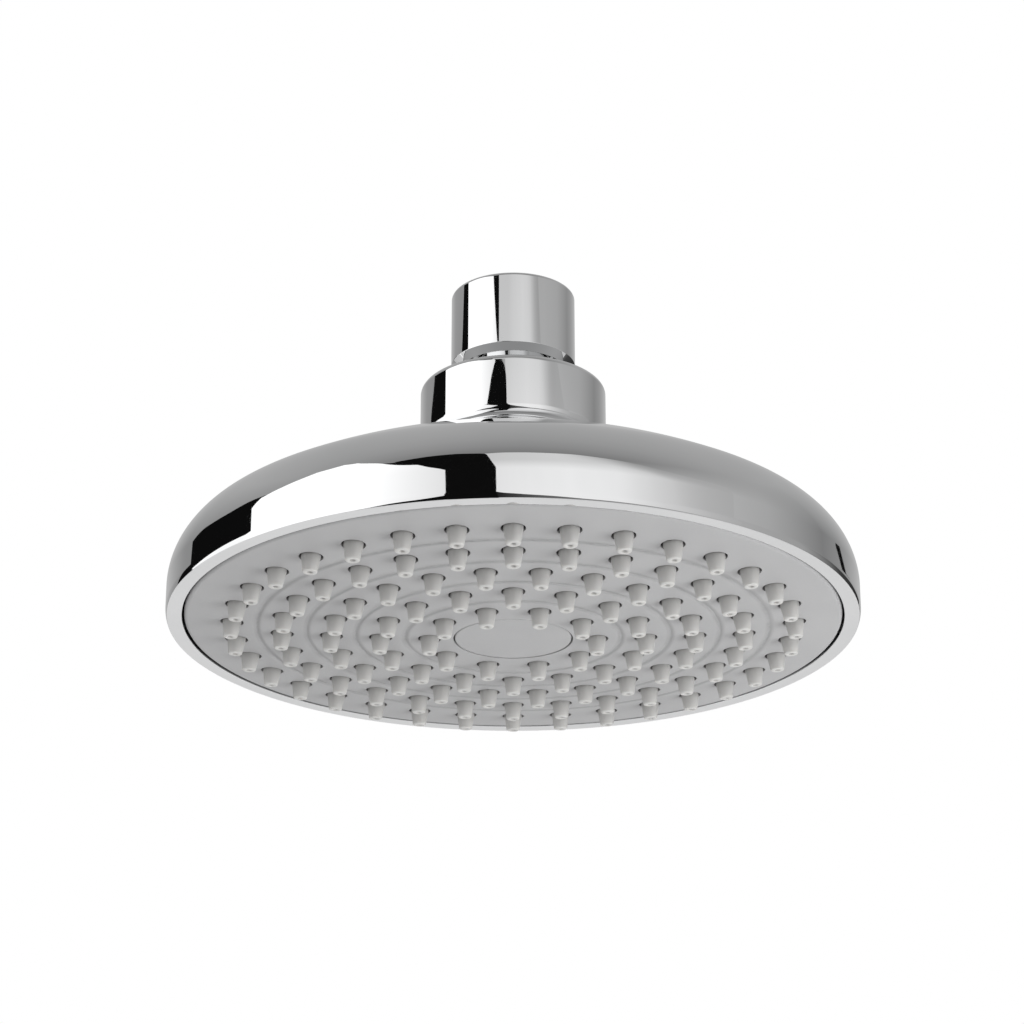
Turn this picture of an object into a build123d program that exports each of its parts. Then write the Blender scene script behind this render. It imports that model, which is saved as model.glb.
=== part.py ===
# Overhead shower head that hangs from a G1/2 pipe end and tilts on a ball joint.
# The origin is the centre of the inlet's mouth, with +Z up along the pipe. Sizes are in millimetres.

import os
from math import cos, pi, radians, sin, sqrt, tan

from build123d import *

# Inlet union nut, with a plain bore at the crest of the pipe's thread
thread_radius = 10.48
thread_clearance = 0.12
thread_length = 9.5
mouth_chamfer = 0.4
inlet_wall = 2.33
inlet_round = 0.7
inlet_chamfer = 1.4
relief_depth = 0.4
web_thickness = 2.2

# Stem and ball that the nut turns on
stem_radius = 7.5
stem_end = 1.55
stem_bore = 4.4
stem_fillet = 1.0
stem_gap = 4.1
ball_radius = 11.0
ball_drop = 7.1
ball_flat = 6.5
tilt_limit = 15.0
running_clearance = 0.06
seat_clearance = 0.12
fit_gap = 0.05

# Retaining clip in the stem's groove
clip_thickness = 1.2
clip_reach = 1.9
groove_depth = 0.8
clip_opening = 60.0

# Washer, strainer and flow regulator under the pipe's end
washer_thickness = 2.0
washer_inner = 6.6
strainer_thickness = 0.6
strainer_hole = 0.55
strainer_pitch = 1.6
strainer_rows = 5
regulator_radius = 5.1
regulator_height = 3.4
regulator_hole = 0.6
regulator_hole_count = 8
regulator_post = 1.2
regulator_post_height = 0.9
ring_section = 0.45

# Collar nut, seat ring and ball seal
cup_wall = 2.5
neck_wall = 2.85
collar_wall = 2.75
collar_top_wall = 2.4
collar_round = 1.3
opening_clearance = 0.8
seat_overlap = 1.2
thread_engagement = 5.05
socket_depth = 9.4
socket_floor = 3.3
passage_radius = 6.0
neck_fillet = 1.6

# Dome shell
head_radius = 69.7
crown_radius = 127.0
shoulder_radius = 14.0
side_top = 5.8
lip_width = 3.3
lip_slope = 3.0
lip_round = 0.4
dome_wall = 2.2
inner_shoulder = 7.0

# Face plate with its clearance holes, rings and hub
plate_gap = 0.4
plate_round = 0.8
plate_sag = 2.6
plate_thickness = 1.6
hole_radius = 2.35
ring_width = 0.9
ring_depth = 0.13
hub_radius = 13.2
hub_height = 6.0
cap_radius = 11.75
cap_thickness = 1.25
cap_gap = 0.3
cap_round = 0.3
pocket_radius = 7.2
pocket_depth = 2.5

# Nozzle mat: rows of nozzles, each row with six more than the row inside it
mat_thickness = 1.5
mat_margin = 1.0
row_count = 5
row_pitch = 9.9
first_row = 16.8
first_row_nozzles = 10
nozzles_added = 6
row_turns = (0.5, 0.0, 0.5, 0.0, 0.0)
nozzle_length = 3.25
nozzle_tip = 1.44
nozzle_base = 1.9
jet_radius = 0.5
jet_inlet = 1.1

# Distributor plate and its fasteners
distributor_thickness = 2.4
chamber_height = 3.2
rim_width = 3.4
boss_height = 5.0
boss_radius = 7.0
groove_width = 2.2
seal_section = 1.0
slot_width = 4.0
slot_rows = (22.0, 52.0)
slot_counts = (4, 9)
slot_share = 0.6
post_circle = 38.0
post_radius = 4.0
post_count = 6
screw_radius = 1.5
screw_head = 3.0
screw_head_height = 1.8
screw_grip = 9.0
centre_screw_radius = 2.5
centre_head = 4.8
centre_head_height = 1.5
screw_seal_thickness = 0.8
insert_wall = 1.0
insert_length = 7.0

# Heights of the inlet and the ball joint
inlet_bore = thread_radius + thread_clearance
inlet_radius = inlet_bore + inlet_wall
relief_radius = inlet_bore + relief_depth
thread_end = -mouth_chamfer - thread_length
washer_top = thread_end - relief_depth
stem_top = washer_top - washer_thickness
clip_top = stem_top - stem_end
web_top = clip_top - clip_thickness - fit_gap
inlet_bottom = web_top - web_thickness
collar_top = inlet_bottom - stem_gap
ball_z = collar_top - ball_drop
collar_ceiling = collar_top - collar_top_wall
neck_top = ball_z - seat_overlap
collar_bottom = neck_top - thread_engagement
socket_radius = ball_radius + cup_wall + fit_gap
neck_radius = socket_radius + neck_wall
collar_bore = neck_radius + fit_gap
collar_radius = collar_bore + collar_wall
tilt = radians(tilt_limit)
collar_opening = ball_drop * tan(tilt) + stem_radius / cos(tilt) + opening_clearance
seat_radius = ball_radius + seat_clearance
floor_z = ball_z - socket_depth

# The crown is an arc about the axis, and the shoulder is an arc that meets it smoothly
bore_radius = head_radius - lip_width
shoulder_x = head_radius - shoulder_radius
crown_drop = sqrt((crown_radius - shoulder_radius) ** 2 - shoulder_x**2)
crown_top = floor_z - socket_floor + dome_wall
crown_centre = crown_top - crown_radius
rim_z = crown_centre + crown_drop - side_top
crown_join = crown_radius / (crown_radius - shoulder_radius)
inner_crown = crown_radius - dome_wall
inner_x = bore_radius - inner_shoulder
inner_drop = sqrt((inner_crown - inner_shoulder) ** 2 - inner_x**2)
inner_join = inner_crown / (inner_crown - inner_shoulder)

# The face plate and the mat are shells about one centre, high above the face
plate_radius = bore_radius - plate_gap
face_radius = (plate_radius**2 + plate_sag**2) / (2 * plate_sag)
face_centre = rim_z - plate_sag + face_radius
plate_back = face_radius - plate_thickness
mat_face = plate_back - fit_gap
mat_back = mat_face - mat_thickness
mat_radius = plate_radius - mat_margin
face_bottom = face_centre - face_radius
cap_back = face_bottom + cap_thickness
pocket_floor = cap_back + fit_gap + pocket_depth
hub_top = face_bottom + hub_height


def turned(*points):
    # Turns a straight-sided profile of radius and height about the axis.
    with BuildSketch(Plane.XZ) as profile:
        with BuildLine():
            Polyline(*points, close=True)
        make_face()
    revolve(profile.sketch, axis=Axis.Z)


def bowl(radius, reach):
    # The point of a shell of this radius that lies this far from the axis.
    return (reach, face_centre - sqrt(radius**2 - reach**2))


def shell(outer, inner, start, end):
    # Turns a curved sheet between two radii about the face's centre.
    middle = (start + end) / 2
    with BuildSketch(Plane.XZ) as profile:
        with BuildLine():
            ThreePointArc(bowl(outer, start), bowl(outer, middle), bowl(outer, end))
            Line(bowl(outer, end), bowl(inner, end))
            ThreePointArc(bowl(inner, end), bowl(inner, middle), bowl(inner, start))
            Line(bowl(inner, start), bowl(outer, start))
        make_face()
    revolve(profile.sketch, axis=Axis.Z)


# Each nozzle's place on the outer face of the plate, square to its bowl
nozzle_spots = []
for row in range(row_count):
    reach = first_row + row * row_pitch
    in_row = first_row_nozzles + row * nozzles_added
    for step in range(in_row):
        turn = (step + row_turns[row]) * 2 * pi / in_row
        spot = Vector(reach * sin(turn), -reach * cos(turn), bowl(face_radius, reach)[1])
        nozzle_spots.append(Plane(spot, z_dir=Vector(0, 0, face_centre) - spot))

os.makedirs("parts", exist_ok=True)

# Inlet union nut: bore for the pipe, relief for the washer and a web under the clip
with BuildPart() as inlet_nut:
    with BuildSketch(Plane.XZ):
        with BuildLine():
            Polyline(
                (stem_radius + running_clearance, web_top),
                (stem_radius + running_clearance, inlet_bottom),
                (inlet_radius, inlet_bottom),
                (inlet_radius, 0),
                (inlet_bore + mouth_chamfer, 0),
                (inlet_bore, -mouth_chamfer),
                (inlet_bore, thread_end),
                (relief_radius, washer_top),
                (relief_radius, web_top),
                close=True,
            )
        make_face()
    revolve(axis=Axis.Z)
    rims = inlet_nut.edges().filter_by(GeomType.CIRCLE).group_by(SortBy.RADIUS)[-1]
    fillet(rims.sort_by(Axis.Z)[-1], inlet_round)
    rims = inlet_nut.edges().filter_by(GeomType.CIRCLE).group_by(SortBy.RADIUS)[-1]
    chamfer(rims.sort_by(Axis.Z)[0], inlet_chamfer)
inlet_nut.part.label = "inlet_nut"
export_step(inlet_nut.part, "parts/inlet_nut.step")

# Swivel ball: hollow stem with the clip's groove and the regulator's seat, and the ball below it
seat_bore = regulator_radius + fit_gap
stem_seat = stem_top - regulator_post_height - regulator_height - fit_gap
stem_length = stem_top - ball_z
with BuildPart() as swivel_ball:
    with Locations((0, 0, ball_z)):
        Sphere(ball_radius)
    with Locations((0, 0, ball_z)):
        Cylinder(stem_radius, stem_length, align=(Align.CENTER, Align.CENTER, Align.MIN))
    fillet(swivel_ball.edges().filter_by(GeomType.CIRCLE).sort_by(Axis.Z)[-2], stem_fillet)
    with Locations((0, 0, ball_z - ball_flat)):
        Cylinder(ball_radius, ball_radius, align=(Align.CENTER, Align.CENTER, Align.MAX), mode=Mode.SUBTRACT)
    with Locations((0, 0, ball_z)):
        Cylinder(stem_bore, 2 * stem_length, mode=Mode.SUBTRACT)
    with Locations((0, 0, stem_seat)):
        Cylinder(seat_bore, stem_length, align=(Align.CENTER, Align.CENTER, Align.MIN), mode=Mode.SUBTRACT)
    with BuildSketch(Plane.XY.offset(web_top)):
        Circle(stem_radius)
        Circle(stem_radius - groove_depth, mode=Mode.SUBTRACT)
    extrude(amount=clip_thickness + 2 * fit_gap, mode=Mode.SUBTRACT)
swivel_ball.part.label = "swivel_ball"
export_step(swivel_ball.part, "parts/swivel_ball.step")

# Retaining clip: an open ring in the stem's groove
with BuildPart() as retaining_clip:
    with BuildSketch(Plane.XY.offset(web_top + fit_gap)):
        Circle(stem_radius + clip_reach)
        Circle(stem_radius - groove_depth + fit_gap, mode=Mode.SUBTRACT)
        with BuildLine():
            opened = stem_radius + 2 * clip_reach
            half = radians(clip_opening / 2)
            Polyline(
                (0, 0),
                (opened * cos(half), -opened * sin(half)),
                (opened * cos(half), opened * sin(half)),
                close=True,
            )
        make_face(mode=Mode.SUBTRACT)
    extrude(amount=clip_thickness)
retaining_clip.part.label = "retaining_clip"
export_step(retaining_clip.part, "parts/retaining_clip.step")

# Inlet washer on the stem's end
with BuildPart() as inlet_washer:
    turned(
        (washer_inner, stem_top),
        (relief_radius - fit_gap, stem_top),
        (relief_radius - fit_gap, washer_top),
        (washer_inner, washer_top),
    )
inlet_washer.part.label = "inlet_washer"
export_step(inlet_washer.part, "parts/inlet_washer.step")

# Strainer: a drilled disc on the stem's end, inside the washer
with BuildPart() as strainer:
    with BuildSketch(Plane.XY.offset(stem_top)):
        Circle(washer_inner - fit_gap)
        with HexLocations(strainer_pitch / sqrt(3), strainer_rows, strainer_rows):
            Circle(strainer_hole, mode=Mode.SUBTRACT)
    extrude(amount=strainer_thickness)
strainer.part.label = "strainer"
export_step(strainer.part, "parts/strainer.step")

# Flow regulator: a drilled puck with a post that carries its elastic ring
with BuildPart() as flow_regulator:
    with BuildSketch(Plane.XY.offset(stem_seat)):
        Circle(regulator_radius)
        with PolarLocations((regulator_post + regulator_radius) / 2, regulator_hole_count):
            Circle(regulator_hole, mode=Mode.SUBTRACT)
    extrude(amount=regulator_height)
    with BuildSketch(Plane.XY.offset(stem_seat + regulator_height)):
        Circle(regulator_post)
    extrude(amount=regulator_post_height)
flow_regulator.part.label = "flow_regulator"
export_step(flow_regulator.part, "parts/flow_regulator.step")

# Regulator ring around the post
with BuildPart() as regulator_ring:
    with BuildSketch(Plane.XZ):
        with Locations((regulator_post + ring_section + fit_gap, stem_seat + regulator_height + ring_section)):
            Circle(ring_section)
    revolve(axis=Axis.Z)
regulator_ring.part.label = "regulator_ring"
export_step(regulator_ring.part, "parts/regulator_ring.step")

# Collar nut around the neck, open at the top for the stem
with BuildPart() as collar_nut:
    turned(
        (collar_opening, collar_ceiling),
        (collar_bore, collar_ceiling),
        (collar_bore, collar_bottom),
        (collar_radius, collar_bottom),
        (collar_radius, collar_top),
        (collar_opening, collar_top),
    )
    rims = collar_nut.edges().filter_by(GeomType.CIRCLE).group_by(SortBy.RADIUS)[-1]
    fillet(rims, collar_round)
collar_nut.part.label = "collar_nut"
export_step(collar_nut.part, "parts/collar_nut.step")

# Seat ring between the collar and the neck, hollowed to the ball
with BuildPart() as ball_seat_ring:
    with BuildSketch(Plane.XY.offset(neck_top + fit_gap)):
        Circle(collar_bore - fit_gap)
    extrude(amount=collar_ceiling - neck_top - 2 * fit_gap)
    with Locations((0, 0, ball_z)):
        Sphere(seat_radius, mode=Mode.SUBTRACT)
ball_seat_ring.part.label = "ball_seat_ring"
export_step(ball_seat_ring.part, "parts/ball_seat_ring.step")

# Ball seal: a cup in the neck's socket that holds the ball from below
with BuildPart() as ball_seal:
    with BuildSketch(Plane.XY.offset(floor_z + fit_gap)):
        Circle(socket_radius - fit_gap)
        Circle(passage_radius, mode=Mode.SUBTRACT)
    extrude(amount=neck_top - floor_z - 2 * fit_gap)
    with Locations((0, 0, ball_z)):
        Sphere(seat_radius, mode=Mode.SUBTRACT)
ball_seal.part.label = "ball_seal"
export_step(ball_seal.part, "parts/ball_seal.step")

# Water space of the dome, with the screw posts left standing in it
distributor_back = bowl(mat_back, plate_radius)[1] + fit_gap + chamber_height + distributor_thickness
with BuildPart() as water_space:
    with BuildSketch(Plane.XZ):
        with BuildLine():
            side_end = (bore_radius, crown_centre + inner_drop)
            shoulder_middle = (inner_x, crown_centre + inner_drop)
            crown_end = (inner_x * inner_join, crown_centre + inner_drop * inner_join)
            crown_apex = (0, crown_centre + inner_crown)
            Polyline(crown_apex, (0, rim_z - plate_sag), (bore_radius, rim_z - plate_sag), side_end)
            RadiusArc(side_end, crown_end, -inner_shoulder)
            RadiusArc(crown_end, crown_apex, -inner_crown)
        make_face()
    revolve(axis=Axis.Z)
    with BuildSketch(Plane.XY.offset(distributor_back + fit_gap)):
        with PolarLocations(post_circle, post_count):
            Circle(post_radius)
    extrude(amount=crown_top - distributor_back, mode=Mode.SUBTRACT)

# Dome shell: flat lip, shoulder and crown in one sweep, with the socket's neck on top
with BuildPart() as dome_shell:
    with BuildSketch(Plane.XZ) as dome_outline:
        with BuildLine():
            lip_start = (bore_radius, rim_z)
            lip_corner = (head_radius, rim_z + lip_width * tan(radians(lip_slope)))
            side_end = (head_radius, rim_z + side_top)
            crown_end = (shoulder_x * crown_join, crown_centre + crown_drop * crown_join)
            neck_foot = (neck_radius, crown_centre + sqrt(crown_radius**2 - neck_radius**2))
            Polyline((0, neck_top), (0, rim_z), lip_start, lip_corner, side_end)
            RadiusArc(side_end, crown_end, -shoulder_radius)
            RadiusArc(crown_end, neck_foot, -crown_radius)
            Polyline(neck_foot, (neck_radius, neck_top), (0, neck_top))
        make_face()
        fillet(dome_outline.vertices().sort_by_distance(neck_foot)[0], neck_fillet)
        fillet(dome_outline.vertices().sort_by_distance(lip_corner)[0], lip_round)
    revolve(axis=Axis.Z)
    add(water_space.part, mode=Mode.SUBTRACT)
    with Locations((0, 0, floor_z)):
        Cylinder(socket_radius, socket_depth, align=(Align.CENTER, Align.CENTER, Align.MIN), mode=Mode.SUBTRACT)
        Cylinder(passage_radius, 2 * socket_floor + 2 * dome_wall, mode=Mode.SUBTRACT)
    with BuildSketch(Plane.XY.offset(distributor_back + fit_gap)):
        with PolarLocations(post_circle, post_count):
            Circle(screw_radius + fit_gap)
    extrude(amount=screw_grip + fit_gap, mode=Mode.SUBTRACT)
dome_shell.part.label = "dome_shell"
export_step(dome_shell.part, "parts/dome_shell.step")

# Face plate: a shallow bowl with clearance holes, soft ring grooves and a hub for the centre screw
groove_radius = (ring_width**2 / 4 + ring_depth**2) / (2 * ring_depth)
groove_shell = face_radius + groove_radius - ring_depth
with BuildPart() as face_plate:
    shell(face_radius, plate_back, 0, plate_radius)
    fillet(face_plate.edges().sort_by_distance((0, plate_radius, rim_z))[0], plate_round)
    with BuildSketch(Plane.XY.offset(hub_top)):
        Circle(hub_radius)
    extrude(amount=plate_thickness / 2 - hub_height)
    with Locations((0, 0, cap_back + fit_gap)):
        Cylinder(cap_radius + cap_gap, hub_height, align=(Align.CENTER, Align.CENTER, Align.MAX), mode=Mode.SUBTRACT)
    with Locations((0, 0, pocket_floor)):
        Cylinder(pocket_radius, hub_height, align=(Align.CENTER, Align.CENTER, Align.MAX), mode=Mode.SUBTRACT)
        Cylinder(centre_screw_radius + fit_gap, 2 * hub_height, mode=Mode.SUBTRACT)
    with Locations(*nozzle_spots):
        Cylinder(hole_radius, 4 * plate_thickness, mode=Mode.SUBTRACT)
    for row in range(1, row_count):
        middle = first_row + (row - 0.5) * row_pitch
        # A quarter turn from the plate's own profile, so that the seams of the two don't meet
        with BuildSketch(Plane.YZ):
            with Locations(bowl(groove_shell, middle)):
                Circle(groove_radius)
        revolve(axis=Axis.Z, mode=Mode.SUBTRACT)
face_plate.part.label = "face_plate"
export_step(face_plate.part, "parts/face_plate.step")

# One nozzle with its tip down and a straight root, and the stepped bore that runs through it
root_top = plate_thickness + fit_gap + mat_thickness / 2
with BuildPart() as nozzle:
    turned(
        (0, -nozzle_length),
        (nozzle_tip, -nozzle_length),
        (nozzle_base, 0),
        (nozzle_base, root_top),
        (0, root_top),
    )
with BuildPart() as nozzle_bore:
    turned(
        (0, -2 * nozzle_length),
        (jet_radius, -2 * nozzle_length),
        (jet_radius, -nozzle_length / 2),
        (jet_inlet, -nozzle_length / 2),
        (jet_inlet, root_top + mat_thickness),
        (0, root_top + mat_thickness),
    )

# Nozzle mat: one soft sheet behind the plate, with a bored nozzle in each of its holes
with BuildPart() as nozzle_mat:
    shell(mat_face, mat_back, hub_radius + fit_gap, mat_radius)
    with Locations(*nozzle_spots):
        add(nozzle.part)
        add(nozzle_bore.part, mode=Mode.SUBTRACT)
nozzle_mat.part.label = "nozzle_mat"
export_step(nozzle_mat.part, "parts/nozzle_mat.step")

# Distributor plate: spreads the water behind the mat and carries the centre screw
distributor_face = distributor_back - distributor_thickness
rim_face = bowl(mat_back, mat_radius)[1] + fit_gap
insert_radius = centre_screw_radius + fit_gap + insert_wall
insert_bottom = hub_top + 2 * fit_gap
with BuildPart() as distributor:
    turned(
        (0, hub_top + fit_gap),
        (boss_radius, hub_top + fit_gap),
        (boss_radius, distributor_face),
        (plate_radius - rim_width, distributor_face),
        (plate_radius - rim_width, rim_face),
        (plate_radius, rim_face),
        (plate_radius, distributor_back),
        (boss_radius, distributor_back),
        (boss_radius, distributor_back + boss_height),
        (0, distributor_back + boss_height),
    )
    with BuildSketch(Plane.XZ):
        with Locations((plate_radius, (rim_face + distributor_back) / 2)):
            Rectangle(4 * seal_section, groove_width)
    revolve(axis=Axis.Z, mode=Mode.SUBTRACT)
    with Locations((0, 0, hub_top)):
        Cylinder(
            insert_radius + fit_gap,
            insert_length + 3 * fit_gap,
            align=(Align.CENTER, Align.CENTER, Align.MIN),
            mode=Mode.SUBTRACT,
        )
    with BuildSketch(Plane.XY.offset(distributor_face)):
        for slot_row, slot_count in zip(slot_rows, slot_counts):
            sweep_angle = slot_share * 360 / slot_count
            for slot in range(slot_count):
                arc = CenterArc((0, 0), slot_row, slot * 360 / slot_count, sweep_angle, mode=Mode.PRIVATE)
                SlotArc(arc, slot_width)
        with PolarLocations(post_circle, post_count):
            Circle(screw_radius + fit_gap)
    extrude(amount=distributor_thickness, mode=Mode.SUBTRACT)
distributor.part.label = "distributor"
export_step(distributor.part, "parts/distributor.step")

# Distributor screws: pan heads under the distributor, shanks in the dome's posts
with BuildPart() as distributor_screws:
    with BuildSketch(Plane.XY.offset(distributor_face - fit_gap)):
        with PolarLocations(post_circle, post_count):
            Circle(screw_head)
    extrude(amount=-screw_head_height)
    with BuildSketch(Plane.XY.offset(distributor_face - fit_gap)):
        with PolarLocations(post_circle, post_count):
            Circle(screw_radius)
    extrude(amount=distributor_thickness + screw_grip)
distributor_screws.part.label = "distributor_screws"
export_step(distributor_screws.part, "parts/distributor_screws.step")

# Rim seal in the distributor's edge groove
with BuildPart() as rim_seal:
    with BuildSketch(Plane.XZ):
        with Locations((bore_radius - fit_gap - seal_section, (rim_face + distributor_back) / 2)):
            Circle(seal_section)
    revolve(axis=Axis.Z)
rim_seal.part.label = "rim_seal"
export_step(rim_seal.part, "parts/rim_seal.step")

# Screw insert in the distributor's boss
with BuildPart() as screw_insert:
    with BuildSketch(Plane.XY.offset(insert_bottom)):
        Circle(insert_radius)
        Circle(centre_screw_radius + fit_gap, mode=Mode.SUBTRACT)
    extrude(amount=insert_length)
screw_insert.part.label = "screw_insert"
export_step(screw_insert.part, "parts/screw_insert.step")

# Screw seal under the centre screw's head
seal_bottom = pocket_floor - fit_gap - screw_seal_thickness
with BuildPart() as screw_seal:
    with BuildSketch(Plane.XY.offset(seal_bottom)):
        Circle(centre_head)
        Circle(centre_screw_radius + fit_gap, mode=Mode.SUBTRACT)
    extrude(amount=screw_seal_thickness)
screw_seal.part.label = "screw_seal"
export_step(screw_seal.part, "parts/screw_seal.step")

# Centre screw, up through the plate's hub into the insert
with BuildPart() as centre_screw:
    with BuildSketch(Plane.XY.offset(seal_bottom - fit_gap)):
        Circle(centre_head)
    extrude(amount=-centre_head_height)
    with BuildSketch(Plane.XY.offset(seal_bottom - fit_gap)):
        Circle(centre_screw_radius)
    extrude(amount=insert_bottom + insert_length - seal_bottom)
centre_screw.part.label = "centre_screw"
export_step(centre_screw.part, "parts/centre_screw.step")

# Centre cap: a flush disc over the screw, with a spigot that plugs its pocket
spigot_height = pocket_depth / 2
with BuildPart() as centre_cap:
    with BuildSketch(Plane.XZ) as cap_outline:
        with BuildLine():
            cap_edge = bowl(face_radius, cap_radius)
            ThreePointArc(bowl(face_radius, 0), bowl(face_radius, cap_radius / 2), cap_edge)
            Polyline(cap_edge, (cap_radius, cap_back), (0, cap_back), bowl(face_radius, 0))
        make_face()
        fillet(cap_outline.vertices().sort_by_distance(cap_edge)[0], cap_round)
    revolve(axis=Axis.Z)
    with BuildSketch(Plane.XY.offset(cap_back)):
        Circle(pocket_radius - fit_gap)
        Circle(centre_head + 2 * cap_gap, mode=Mode.SUBTRACT)
    extrude(amount=spigot_height)
centre_cap.part.label = "centre_cap"
export_step(centre_cap.part, "parts/centre_cap.step")
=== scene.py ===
import math

import bpy
import numpy as np
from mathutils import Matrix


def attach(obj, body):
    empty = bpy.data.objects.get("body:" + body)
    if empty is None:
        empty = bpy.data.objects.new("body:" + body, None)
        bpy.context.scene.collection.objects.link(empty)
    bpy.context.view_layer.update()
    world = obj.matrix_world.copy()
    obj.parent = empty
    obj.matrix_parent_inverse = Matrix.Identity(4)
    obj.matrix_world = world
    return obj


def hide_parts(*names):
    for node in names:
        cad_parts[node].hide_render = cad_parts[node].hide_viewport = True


# Overhead shower head on a ball joint: mirror chrome body, satin grey face, 110 soft nozzles.
# Lengths in the dictionaries are millimetres, z = 0 at the inlet's mouth; meshes are in metres.

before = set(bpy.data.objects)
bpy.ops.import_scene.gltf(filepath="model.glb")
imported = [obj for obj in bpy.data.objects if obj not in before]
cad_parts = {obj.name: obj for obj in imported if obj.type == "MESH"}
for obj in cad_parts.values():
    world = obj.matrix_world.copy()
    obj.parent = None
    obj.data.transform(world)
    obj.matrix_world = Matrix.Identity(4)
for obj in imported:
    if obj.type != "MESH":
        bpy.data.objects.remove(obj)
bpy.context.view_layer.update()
toMetres = 0.001
sameSpot = 1e-6


# profiles, surfaces and meshes


def arcRun(centre, radius, fromDeg, toDeg, steps):
    # arc in the (reach, height) plane: centre + radius * (cos, sin) of an evenly stepped angle
    angle = np.radians(np.linspace(fromDeg, toDeg, steps + 1))
    return np.stack([centre[0] + radius * np.cos(angle), centre[1] + radius * np.sin(angle)], 1)


def straightRun(start, end, steps=1, guard=0.04, guardShare=0.3):
    # straight run with a guard point close to each end, which keeps a mirror flat up to its rounds
    start, end = np.array(start, float), np.array(end, float)
    inner = np.linspace(0, 1, steps + 1)[1:-1]
    close = min(guard / max(math.dist(start, end), sameSpot), guardShare)
    share = np.unique(np.concatenate([[0, close], inner, [1 - close, 1]]))[:, None]
    return start + share * (end - start)


def joinRuns(*runs):
    # runs laid end to end, with doubled points dropped
    points = np.concatenate(runs)
    moved = np.linalg.norm(np.diff(points, axis=0), axis=1) > sameSpot
    points = points[np.concatenate([[True], moved])]
    if np.linalg.norm(points[0] - points[-1]) < sameSpot:
        points = points[:-1]
    return points


def softOutline(corners, steps=6):
    # closed outline through (reach, height, round) corners, each an arc that meets both its sides
    spots = np.array([c[:2] for c in corners], float)
    rounds = np.array([c[2] for c in corners], float)
    toBack = np.roll(spots, 1, axis=0) - spots
    toNext = np.roll(spots, -1, axis=0) - spots
    toBack /= np.linalg.norm(toBack, axis=1, keepdims=True)
    toNext /= np.linalg.norm(toNext, axis=1, keepdims=True)
    half = np.arccos(np.clip((toBack * toNext).sum(1), -1, 1)) / 2
    setBack = (rounds / np.tan(half))[:, None]
    into = toBack + toNext
    into /= np.linalg.norm(into, axis=1, keepdims=True)
    centres = spots + into * (rounds / np.sin(half))[:, None]
    starts, ends = spots + toBack * setBack, spots + toNext * setBack
    runs = []
    for i in range(len(corners)):
        a = math.atan2(*(starts[i] - centres[i])[::-1])
        b = math.atan2(*(ends[i] - centres[i])[::-1])
        b = a + (b - a + math.pi) % (2 * math.pi) - math.pi
        runs.append(arcRun(centres[i], rounds[i], math.degrees(a), math.degrees(b), steps))
        runs.append(straightRun(ends[i], starts[(i + 1) % len(corners)]))
    return joinRuns(*runs)


def sheetFaces(rows, columns, wrapRows, wrapColumns):
    # quads of a rows x columns grid of points, closed round on itself where asked
    r = np.arange(rows if wrapRows else rows - 1)[:, None]
    c = np.arange(columns if wrapColumns else columns - 1)[None, :]
    r2, c2 = (r + 1) % rows, (c + 1) % columns
    quads = np.stack([r * columns + c, r * columns + c2, r2 * columns + c2, r2 * columns + c], -1)
    return quads.reshape(-1, 4)


def turnedGrid(outline, segments, thread=None):
    # outline (reach, height) turned about z: x = reach sin a, y = -reach cos a, z = height
    angle = np.linspace(0, 2 * np.pi, segments, endpoint=False)[None, :]
    reach = np.repeat(outline[:, :1], segments, 1)
    height = np.repeat(outline[:, 1:], segments, 1)
    if thread is not None:
        reach = reach - thread(height, angle)
    return np.stack([reach * np.sin(angle), -reach * np.cos(angle), height], -1)


def turnedMesh(outline, segments, thread=None):
    # closed outline turned into a ring-shaped solid; it runs anticlockwise, so faces look outwards
    x, z = outline[:, 0], outline[:, 1]
    area = (x * np.roll(z, -1) - np.roll(x, -1) * z).sum()
    if area < 0:
        outline = outline[::-1]
    grid = turnedGrid(outline, segments, thread)
    return grid.reshape(-1, 3), sheetFaces(len(outline), segments, True, True).tolist()


def joinMeshes(*parts):
    # several (points, faces) pairs as one, with face numbers moved past the points before them
    points, faces, start = [], [], 0
    for partPoints, partFaces in parts:
        points.append(partPoints)
        faces += [[i + start for i in face] for face in partFaces]
        start += len(partPoints)
    return np.concatenate(points), faces


def polygonVectors(mesh, kind):
    # centre or normal of every face, a row each
    values = np.zeros(3 * len(mesh.polygons))
    mesh.polygons.foreach_get(kind, values)
    return values.reshape(-1, 3)


def smoothMesh(name, points, faces, finish):
    # points in millimetres and faces as index rows
    mesh = bpy.data.meshes.new(name)
    mesh.from_pydata((np.asarray(points, float).reshape(-1, 3) * toMetres).tolist(), [], faces)
    mesh.polygons.foreach_set("use_smooth", np.ones(len(mesh.polygons), bool))
    mesh.materials.append(finish)
    mesh.update()
    return mesh


def newObject(name, data):
    made = bpy.data.objects.new(name, data)
    bpy.context.scene.collection.objects.link(made)
    return made


def makePiece(name, points, faces, finish, body, slot, stands):
    # one smooth mesh that rides on its body and stands for CAD nodes
    piece = newObject(name, smoothMesh(name, points, faces, finish))
    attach(piece, body)
    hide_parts(*stands)
    return piece


# shader steps


def newFinish(name, **sockets):
    # principled material with some sockets set, an underscore standing for a space
    finish = bpy.data.materials.new(name)
    finish.use_nodes = True
    shader = finish.node_tree.nodes["Principled BSDF"]
    for socket, value in sockets.items():
        shader.inputs[socket.replace("_", " ")].default_value = value
    return finish, finish.node_tree.nodes, finish.node_tree.links, shader


def mathStep(nodes, links, operation, *feeds):
    # one maths node, each feed a number or another node's output
    step = nodes.new("ShaderNodeMath")
    step.operation = operation
    for socket, feed in zip(step.inputs, feeds):
        if isinstance(feed, (int, float)):
            socket.default_value = feed
        else:
            links.new(feed, socket)
    return step.outputs[0]


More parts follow.
